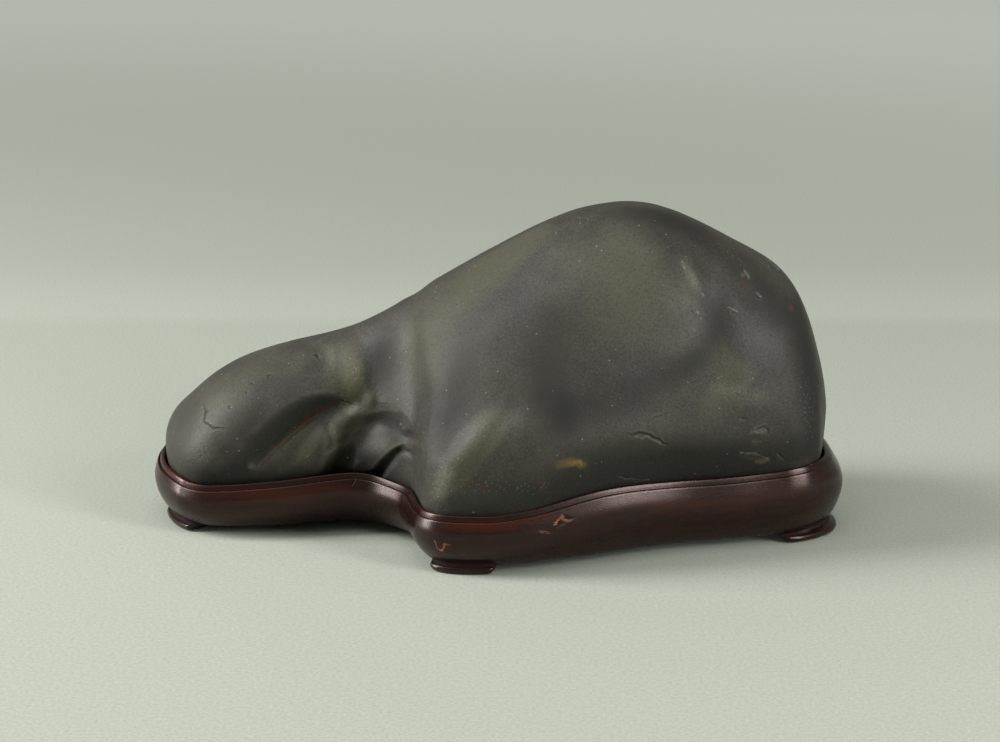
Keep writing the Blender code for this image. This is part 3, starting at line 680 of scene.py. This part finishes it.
def lift_of(path, crease, places):
    """How far the mark lifts each place, in mm."""
    reach = path[:, 2:4].max()
    near = np.all((places > path[:, :2].min(0) - reach) & (places < path[:, :2].max(0) + reach), 1)
    found = np.flatnonzero(near)
    lift = np.zeros(len(places))
    if not len(found):
        return lift
    here = places[found]
    nearest = np.full(len(here), np.inf)
    best = np.zeros(len(here))
    for start, end in zip(path, path[1:]):
        way = (end - start)[:2]
        share = np.clip((here - start[:2]) @ way / (way @ way), 0, 1)
        offset = here - start[:2] - share[:, None] * way
        distance = np.maximum(np.hypot(offset[:, 0], offset[:, 1]), 1e-6)
        side = (way[0] * offset[:, 1] - way[1] * offset[:, 0]) / (distance * math.hypot(*way))
        values = start + share[:, None] * (end - start)
        reaches = values[:, 2] + (values[:, 3] - values[:, 2]) * (side + 1) / 2
        out = np.clip(distance / reaches, 0, 1)
        bell = (1 - out ** 2) ** 2
        furrow = 1.15 * (1 - out) ** 2 / (1.15 - out)
        shape = (1 - crease) * bell + crease * furrow
        closer = distance < nearest
        nearest = np.where(closer, distance, nearest)
        best = np.where(closer, shape * values[:, 4], best)
    lift[found] = best
    return lift


def total_lift(side, marks, places):
    return sum(lift_of(drawn_path(side, path), crease, places) for crease, path in marks)


def facing(normals, to_eye):
    """1 where the surface faces the eye, fading to 0 where it turns away."""
    return ease(0.08, 0.4, (normals * to_eye).sum(1))


def unevenness(points, size, seed):
    """Smooth noise from -1 to 1 whose bumps are about size mm across."""
    offset = Vector((seed * 7.3, seed * 3.1, seed * 5.7))
    scale = 1 / (size * MM)
    return np.array([noise.noise(Vector(point) * scale + offset) for point in points])


def shaken(points, far):
    """A ragged shift of up to far mm across and along, which keeps fine marks from looking drawn."""
    if not far:
        return 0.0
    return far * np.stack([unevenness(points, RAGGED_SIZE_MM, seed) for seed in (11, 12)], 1)


def sculpted(points, normals, drawings, ragged=0.0):
    """How far the marks push each point along its line of sight, which keeps them where they are drawn."""
    wobble = shaken(points, ragged)
    # what stands out fades away just above the stand's rim, so that the stone keeps clear of it
    rim = np.interp(points[:, 0] / MM, *zip(*RIM_LINE))
    room = ease(0.0, RIM_CLEARANCE_MM, points[:, 2] / MM - rim)
    shift = np.zeros(points.shape)
    for side, marks in drawings.items():
        places, to_eye = seen_from(side, points)
        lift = total_lift(side, marks, places + wobble)
        lift = np.where(lift > 0, lift * room, lift) * facing(normals, to_eye) * MM
        shift += lift[:, None] * to_eye
    return shift


def paint(mesh, paints, ragged):
    """Sets one attribute for each paint: how strongly each point is painted."""
    points, normals = points_of(mesh), normals_of(mesh)
    wobble = shaken(points, ragged)
    for name, drawings in paints.items():
        amount = np.zeros(len(points))
        for side, marks in drawings.items():
            places, to_eye = seen_from(side, points)
            amount += total_lift(side, marks, places + wobble) * facing(normals, to_eye)
        set_attribute(mesh, name, amount)


def hollowness(mesh, spread):
    """How hollow (+) or crested (-) the surface is at each point, per mm, averaged spread times over."""
    points, normals = points_of(mesh), normals_of(mesh)
    one, other = edge_ends(mesh)
    way = (points[other] - points[one]) / MM
    squared = np.maximum((way ** 2).sum(1), 1e-6)
    bend = np.zeros(len(points))
    count = np.zeros(len(points))
    for at, sign in ((one, 1), (other, -1)):
        np.add.at(bend, at, sign * (way * normals[at]).sum(1) * 2 / squared)
        np.add.at(count, at, 1.0)
    bend /= np.maximum(count, 1)
    for _ in range(spread):
        total = bend.copy()
        np.add.at(total, one, bend[other])
        np.add.at(total, other, bend[one])
        bend = total / (count + 1)
    return bend


def spread_wider(mesh, values, rounds, kept=0.85):
    """Each point's value, or most of its strongest neighbour's, so that a line becomes a band."""
    one, other = edge_ends(mesh)
    for _ in range(rounds):
        wider = values.copy()
        np.maximum.at(wider, one, kept * values[other])
        np.maximum.at(wider, other, kept * values[one])
        values = wider
    return values


def refine(piece, drawings, margin):
    """Divides the faces near these marks once more, then smooths the new points in."""
    bm = bmesh.new()
    bm.from_mesh(piece.data)
    bm.faces.ensure_lookup_table()
    middles = np.array([face.calc_center_median() for face in bm.faces])
    normals = np.array([face.normal for face in bm.faces])
    chosen = np.zeros(len(middles), bool)
    for side, marks in drawings.items():
        places, to_eye = seen_from(side, middles)
        wide = []
        for _, path in marks:
            points = with_both_reaches(path)
            wide.append((0, [(a, b, left + margin, right + margin, 1.0) for a, b, left, right, _ in points]))
        chosen |= (total_lift(side, wide, places) > 0) & ((normals * to_eye).sum(1) > 0.05)
    edges = {edge for at in np.flatnonzero(chosen) for edge in bm.faces[at].edges}
    made = bmesh.ops.subdivide_edges(bm, edges=list(edges), cuts=1, use_grid_fill=True)
    fresh = {item for item in made["geom"] if isinstance(item, bmesh.types.BMVert)}
    bmesh.ops.smooth_vert(
        bm, verts=list(fresh), factor=0.5, use_axis_x=True, use_axis_y=True, use_axis_z=True,
    )
    bm.to_mesh(piece.data)
    bm.free()


# ---------------------------------------------------------------- materials


def add_node(tree, kind, links=None, **settings):
    """Adds a shader node, sets its properties, and fills or links its inputs."""
    made = tree.nodes.new(kind)
    for name, value in settings.items():
        setattr(made, name, value)
    for socket, value in (links or {}).items():
        if isinstance(value, bpy.types.NodeSocket):
            tree.links.new(value, made.inputs[socket])
        else:
            made.inputs[socket].default_value = value
    return made


def cloudy(tree, place, scale, detail, **more):
    """Noise from 0 to 1 whose forms are one unit of place / scale across."""
    links = {"Vector": place, "Scale": scale, "Detail": detail}
    return add_node(tree, "ShaderNodeTexNoise", links | more).outputs["Fac"]


def to_cell(tree, place, size):
    """The distance to the middle of the nearest cell, where cells are about size metres across."""
    return add_node(tree, "ShaderNodeTexVoronoi", {"Vector": place, "Scale": 1 / size}).outputs["Distance"]


def stretch(tree, value, low, high, least=0.0, most=1.0, kind="LINEAR"):
    """The value, with low to high brought to least to most."""
    return add_node(
        tree, "ShaderNodeMapRange",
        {"Value": value, "From Min": low, "From Max": high, "To Min": least, "To Max": most},
        interpolation_type=kind,
    ).outputs["Result"]


def maths(tree, operation, *values, clamp=False):
    """The outcome of a sum with these values."""
    return add_node(
        tree, "ShaderNodeMath", dict(enumerate(values)), operation=operation, use_clamp=clamp,
    ).outputs["Value"]


def shaded(tree, colour, factor):
    """The colour times a factor."""
    return add_node(
        tree, "ShaderNodeVectorMath", {0: colour, 1: factor}, operation="MULTIPLY",
    ).outputs["Vector"]


def mixed(tree, share, below, above):
    """Below where the share is 0, above where it is 1."""
    return add_node(
        tree, "ShaderNodeMix", {"Factor": share, "A": below, "B": above}, data_type="RGBA",
    ).outputs[2]


def amount_of(tree, name):
    """A painted attribute."""
    return add_node(tree, "ShaderNodeAttribute", attribute_name=name).outputs["Fac"]


def new_material(name):
    """An empty material; returns it, its node tree and the place on the piece."""
    material = bpy.data.materials.new(name)
    material.use_nodes = True
    tree = material.node_tree
    tree.nodes.clear()
    return material, tree, add_node(tree, "ShaderNodeTexCoord").outputs["Object"]


def set_shader(tree, links, height=None, deep=0.0):
    """The material's shader, with a bump of this height map, deep metres deep."""
    if height is not None:
        bump = add_node(tree, "ShaderNodeBump", {"Height": height, "Strength": 1.0, "Distance": deep})
        links = links | {"Normal": bump.outputs["Normal"]}
    shader = add_node(tree, "ShaderNodeBsdfPrincipled", links)
    add_node(tree, "ShaderNodeOutputMaterial", {"Surface": shader.outputs[0]})


def rgba(colour):
    return (*colour, 1.0)


def water_worn_stone(settings):
    """Fine-grained greenstone, tumbled in a river and rubbed by hands for years.

    To the eye: one dark body that drifts between olive and slate, a satin surface whose sheen is broken by a
    fine grain and pores, dirt in the cracks and pits, painted shade in the notch, on the dome's top and under
    it and round the stone's foot, broad faces painted paler and olive where the light falls on them, crests
    rubbed paler, pale mineral flecks with a few painted highlights among them, and rust-brown stains and
    chalky scratches where they are painted.
    """
    material, tree, place = new_material("water_worn_stone")
    patches = cloudy(tree, place, 1 / 0.05, 3.0, Roughness=0.5)
    clouds = cloudy(tree, place, 1 / 0.011, 5.0, Roughness=0.65)
    grain = cloudy(tree, place, 1 / 0.0011, 3.0, Roughness=0.6)
    drift = stretch(tree, patches, 0.38, 0.62, kind="SMOOTHSTEP")
    body = mixed(tree, drift, rgba(settings.slate), rgba(settings.olive))
    # cloudy mottling and grain, each as a factor on the body colour
    body = shaded(tree, body, stretch(tree, clouds, 0.3, 0.7, 0.82, 1.18))
    body = shaded(tree, body, stretch(tree, grain, 0.3, 0.7, 0.65, 1.35))
    # what is painted on, from the broadest to the finest; the grain breaks up each painted edge
    broken = stretch(tree, grain, 0.25, 0.65, 0.35, 1.2)
    # the patina layer is partly painted light on the lit faces, the grime layer partly painted shade, and the
    # chalk layer holds a few painted highlights besides the scratches
    layers = (
        ("patina", settings.patina, 0.9), ("grime", settings.grime, 0.85), ("crest", settings.worn, 0.4),
        ("tan", settings.tan, 0.7), ("rust", settings.rust, 0.8), ("ochre", settings.ochre, 0.9),
        ("chalk", settings.chalk, 0.8),
    )
    for name, colour, most in layers:
        share = maths(tree, "MULTIPLY", amount_of(tree, name), broken, clamp=True)
        body = mixed(tree, maths(tree, "MULTIPLY", share, most), body, rgba(colour))
    # mineral flecks: a pale dot in some of the cells, and many where the skin is rubbed off
    dots = stretch(tree, to_cell(tree, place, 0.0042), 0.05, 0.1, 1.0, 0.0)
    flecks = maths(tree, "MULTIPLY", dots, stretch(tree, clouds, 0.48, 0.58, most=0.5))
    specks = stretch(tree, to_cell(tree, place, 0.0015), 0.08, 0.24, 0.4, 0.0)
    flecks = maths(tree, "MULTIPLY_ADD", amount_of(tree, "speckle"), specks, flecks, clamp=True)
    body = mixed(tree, flecks, body, rgba(settings.chalk))
    # where dirt and painted shade lie the surface is rougher, with no shine
    sheen = stretch(tree, clouds, 0.3, 0.7, settings.sheen - 0.06, settings.sheen + 0.06)
    sheen = maths(tree, "MULTIPLY_ADD", amount_of(tree, "grime"), 0.3, sheen, clamp=True)
    pits = stretch(tree, to_cell(tree, place, 0.0023), 0.05, 0.22, -1.0, 0.0, "SMOOTHSTEP")
    height = maths(tree, "MULTIPLY_ADD", grain, 1.2, pits)
    set_shader(tree, {"Base Color": body, "Roughness": sheen, "IOR": 1.38}, height, 0.12 * MM)
    return material


def lacquered_rosewood(settings):
    """Old rosewood, carved, oiled dark and finished with a thin rubbed lacquer.

    To the eye: nearly black in the shade, red-brown where light gets in, painted on as light where the walls
    catch it and partly the wood's own red, with dark veins and short open pores along the block, a soft sheen
    on every rounded edge, a darkened groove, and orange bare wood where it is chipped.
    """
    material, tree, place = new_material("lacquered_rosewood")
    # the grain runs along the block
    along = add_node(
        tree, "ShaderNodeMapping", {"Vector": place, "Scale": (1 / 0.03, 1 / 0.0035, 1 / 0.0022)},
    )
    veins = cloudy(tree, along.outputs["Vector"], 1.0, 4.0, Roughness=0.6, Distortion=0.6)
    dashes = add_node(
        tree, "ShaderNodeMapping", {"Vector": place, "Scale": (1 / 0.005, 1 / 0.0006, 1 / 0.0006)},
    )
    pores = cloudy(tree, dashes.outputs["Vector"], 1.0, 2.0)
    streak = stretch(tree, veins, 0.35, 0.66, kind="SMOOTHSTEP")
    body = mixed(tree, streak, rgba(settings.vein), rgba(settings.wood))
    open_pore = stretch(tree, pores, 0.3, 0.46, 0.45, 1.0)
    body = shaded(tree, body, open_pore)
    # glow is painted light on the walls where they catch the light, partly the wood's own red; the rub on
    # crests is wear; the groove's bottom is darkened
    layers = (
        ("glow", settings.red, 0.5), ("rubbed", settings.red, 0.4), ("dirt", settings.dirt, 0.95),
        ("bare", settings.bare, 1.0),
    )
    for name, colour, most in layers:
        share = maths(tree, "MULTIPLY", amount_of(tree, name), most, clamp=True)
        body = mixed(tree, share, body, rgba(colour))
    # the darkened groove is rougher, with no sheen
    satin = stretch(tree, pores, 0.3, 0.6, settings.lacquer + 0.07, settings.lacquer)
    satin = maths(tree, "MULTIPLY_ADD", amount_of(tree, "dirt"), 0.6, satin, clamp=True)
    finish = {"Base Color": body, "Roughness": satin, "IOR": 1.45, "Specular Tint": rgba(settings.tint)}
    set_shader(tree, finish, open_pore, 0.012 * MM)
    return material


def matt_paper(settings):
    """Flat pale studio paper: matt, with a fine tooth; painted light makes it glow further back, and along a
    band where it would turn up behind the object.
    """
    material, tree, place = new_material("matt_paper")
    # painted light: the paper glows further back, and along a band where it would turn up behind the object
    offset = add_node(tree, "ShaderNodeVectorMath", {0: place, 1: (0.4, 0.0, 0.0)}, operation="ADD")
    away = add_node(tree, "ShaderNodeVectorMath", {0: offset.outputs["Vector"]}, operation="LENGTH")
    glow = stretch(tree, away.outputs["Value"], 0.3, 2.4, most=0.82, kind="SMOOTHSTEP")
    back = add_node(tree, "ShaderNodeSeparateXYZ", {"Vector": place}).outputs["Y"]
    before = stretch(tree, back, 0.385, 0.425, most=settings.fold, kind="SMOOTHSTEP")
    behind = stretch(tree, back, 0.43, 0.6, 1.0, 0.0, "SMOOTHSTEP")
    glow = maths(tree, "MULTIPLY_ADD", before, behind, glow)
    tooth = cloudy(tree, place, 1 / 0.0016, 2.0, Roughness=0.7)
    colour = shaded(tree, tuple(settings.paper), stretch(tree, tooth, 0.25, 0.75, 0.86, 1.14))
    finish = {
        "Base Color": colour, "Roughness": 0.9, "Emission Color": rgba(settings.paper_glow),
        "Emission Strength": glow,
    }
    set_shader(tree, finish)
    return material


# ---------------------------------------------------------------- operators


class OBJECT_OT_rock_camera(bpy.types.Operator):
    """Add the camera, which looks down a little on the object"""

    bl_idname = "object.rock_camera"
    bl_label = "Camera"

    def execute(self, context):
        camera = bpy.data.objects.new("camera", bpy.data.cameras.new("camera"))
        context.scene.collection.objects.link(camera)
        camera.data.lens = LENS_MM
        camera.data.sensor_width = SENSOR_MM
        camera.data.clip_start = 0.05
        camera.data.clip_end = 50.0
        camera.location = EYE
        camera.rotation_euler = (math.pi / 2 - CAMERA_DOWN, 0.0, 0.0)
        context.scene.camera = camera
        return {"FINISHED"}


class OBJECT_OT_rock_stage(bpy.types.Operator):
    """Add the floor, the lights and the world"""

    bl_idname = "object.rock_stage"
    bl_label = "Stage"

    def execute(self, context):
        settings = context.scene.rock_stage
        mesh = bpy.data.meshes.new("floor")
        bm = bmesh.new()
        bmesh.ops.create_grid(bm, x_segments=2, y_segments=2, size=FLOOR_REACH)
        bm.to_mesh(mesh)
        bm.free()
        floor = add_piece("floor", mesh)
        mesh.materials.append(matt_paper(settings))
        for name, (size, place) in LIGHTS.items():
            self.add_light(context, name, getattr(settings, name), size, place)
        world = bpy.data.worlds.new("studio")
        world.use_nodes = True
        background = world.node_tree.nodes["Background"]
        background.inputs["Color"].default_value = rgba(settings.room)
        background.inputs["Strength"].default_value = settings.glow
        context.scene.world = world
        context.scene.view_settings.view_transform = "Standard"
        return {"FINISHED"}

    def add_light(self, context, name, power, size, place):
        """A soft light, so wide and high, that faces the object."""
        data = bpy.data.lights.new(name, "AREA")
        data.shape = "RECTANGLE"
        data.energy = power
        data.size, data.size_y = size
        light = bpy.data.objects.new(name, data)
        context.scene.collection.objects.link(light)
        light.location = place
        light.rotation_euler = (CAMERA_TARGET - Vector(place)).to_track_quat("-Z", "Y").to_euler()


class OBJECT_OT_rock_stone(bpy.types.Operator):
    """Add the sculpted stone"""

    bl_idname = "object.rock_stone"
    bl_label = "Stone"

    def execute(self, context):
        settings = context.scene.rock_stone
        stone = quad_copy("stone", "worn_stone")
        subdivide(stone, ROUNDING_LEVELS)
        refine(stone, {"front": STONE_FORMS["front"]}, 0.0)
        refine(stone, NOTCH, 0.5)
        refine(stone, STONE_SCARS, 1.5)
        refine(stone, {"front": STONE_SCARS["front"]}, 0.5)
        mesh = stone.data
        cad_points, normals = points_of(mesh), normals_of(mesh)
        points = cad_points + sculpted(cad_points, normals, STONE_FORMS)
        points += sculpted(cad_points, normals, NOTCH)
        points += sculpted(cad_points, normals, STONE_SCARS, RAGGED_MM)
        rise = 0.7 * unevenness(points, 26, 1) + 0.3 * unevenness(points, 9, 2)
        move_points(mesh, points + normals * (rise * settings.wear)[:, None])
        paint(mesh, STONE_PAINT, RAGGED_MM)
        set_attribute(mesh, "crest", ease(0.04, 0.16, -hollowness(mesh, 6)))
        finish_piece(stone, water_worn_stone(settings), "stone")
        return {"FINISHED"}


class OBJECT_OT_rock_stand(bpy.types.Operator):
    """Add the carved stand"""

    bl_idname = "object.rock_stand"
    bl_label = "Stand"

    def execute(self, context):
        settings = context.scene.rock_stand
        stand = quad_copy("stand", "carved_stand", SHARP_EDGE)
        subdivide(stand, ROUNDING_LEVELS)
        refine(stand, STAND_SCARS, 1.0)
        refine(stand, STAND_SCARS, 0.4)
        mesh = stand.data
        points = points_of(mesh)
        move_points(mesh, points + sculpted(points, normals_of(mesh), STAND_SCARS, RAGGED_MM))
        paint(mesh, STAND_PAINT, RAGGED_MM)
        crested = -hollowness(mesh, 1)
        # the groove's bottom is cut a little deeper and darkened
        dirt = spread_wider(mesh, ease(0.3, 1.2, hollowness(mesh, 0)), 2)
        move_points(mesh, points_of(mesh) - normals_of(mesh) * (GROOVE_CUT_MM * MM * dirt)[:, None])
        set_attribute(mesh, "rubbed", ease(0.4, 1.4, crested) * (1 - dirt))
        set_attribute(mesh, "dirt", dirt)
        finish_piece(stand, lacquered_rosewood(settings), "stand")
        return {"FINISHED"}


class VIEW3D_PT_rock(bpy.types.Panel):
    """Settings and operators of the scholars rock"""

    bl_label = "Scholars rock"
    bl_space_type = "VIEW_3D"
    bl_region_type = "UI"
    bl_category = "Scholars rock"

    def draw(self, context):
        for group, kinds in GROUPS.items():
            box = self.layout.box()
            settings = getattr(context.scene, group)
            for name in settings.bl_rna.properties.keys():
                if name not in ("rna_type", "name"):
                    box.prop(settings, name)
            for kind in kinds:
                box.operator(kind.bl_idname)


SETTINGS = {"rock_stone": StoneSettings, "rock_stand": StandSettings, "rock_stage": StageSettings}
GROUPS = {
    "rock_stage": (OBJECT_OT_rock_camera, OBJECT_OT_rock_stage),
    "rock_stone": (OBJECT_OT_rock_stone,),
    "rock_stand": (OBJECT_OT_rock_stand,),
}
CLASSES = (*SETTINGS.values(), *(kind for kinds in GROUPS.values() for kind in kinds), VIEW3D_PT_rock)


def register():
    for kind in CLASSES:
        bpy.utils.register_class(kind)
    for name, group in SETTINGS.items():
        setattr(bpy.types.Scene, name, PointerProperty(type=group))


def unregister():
    for name in SETTINGS:
        delattr(bpy.types.Scene, name)
    for kind in reversed(CLASSES):
        bpy.utils.unregister_class(kind)


def main():
    """Builds the whole scene."""
    register()
    bpy.ops.object.rock_camera()
    bpy.ops.object.rock_stage()
    bpy.ops.object.rock_stone()
    bpy.ops.object.rock_stand()


if __name__ == "__main__":
    main()
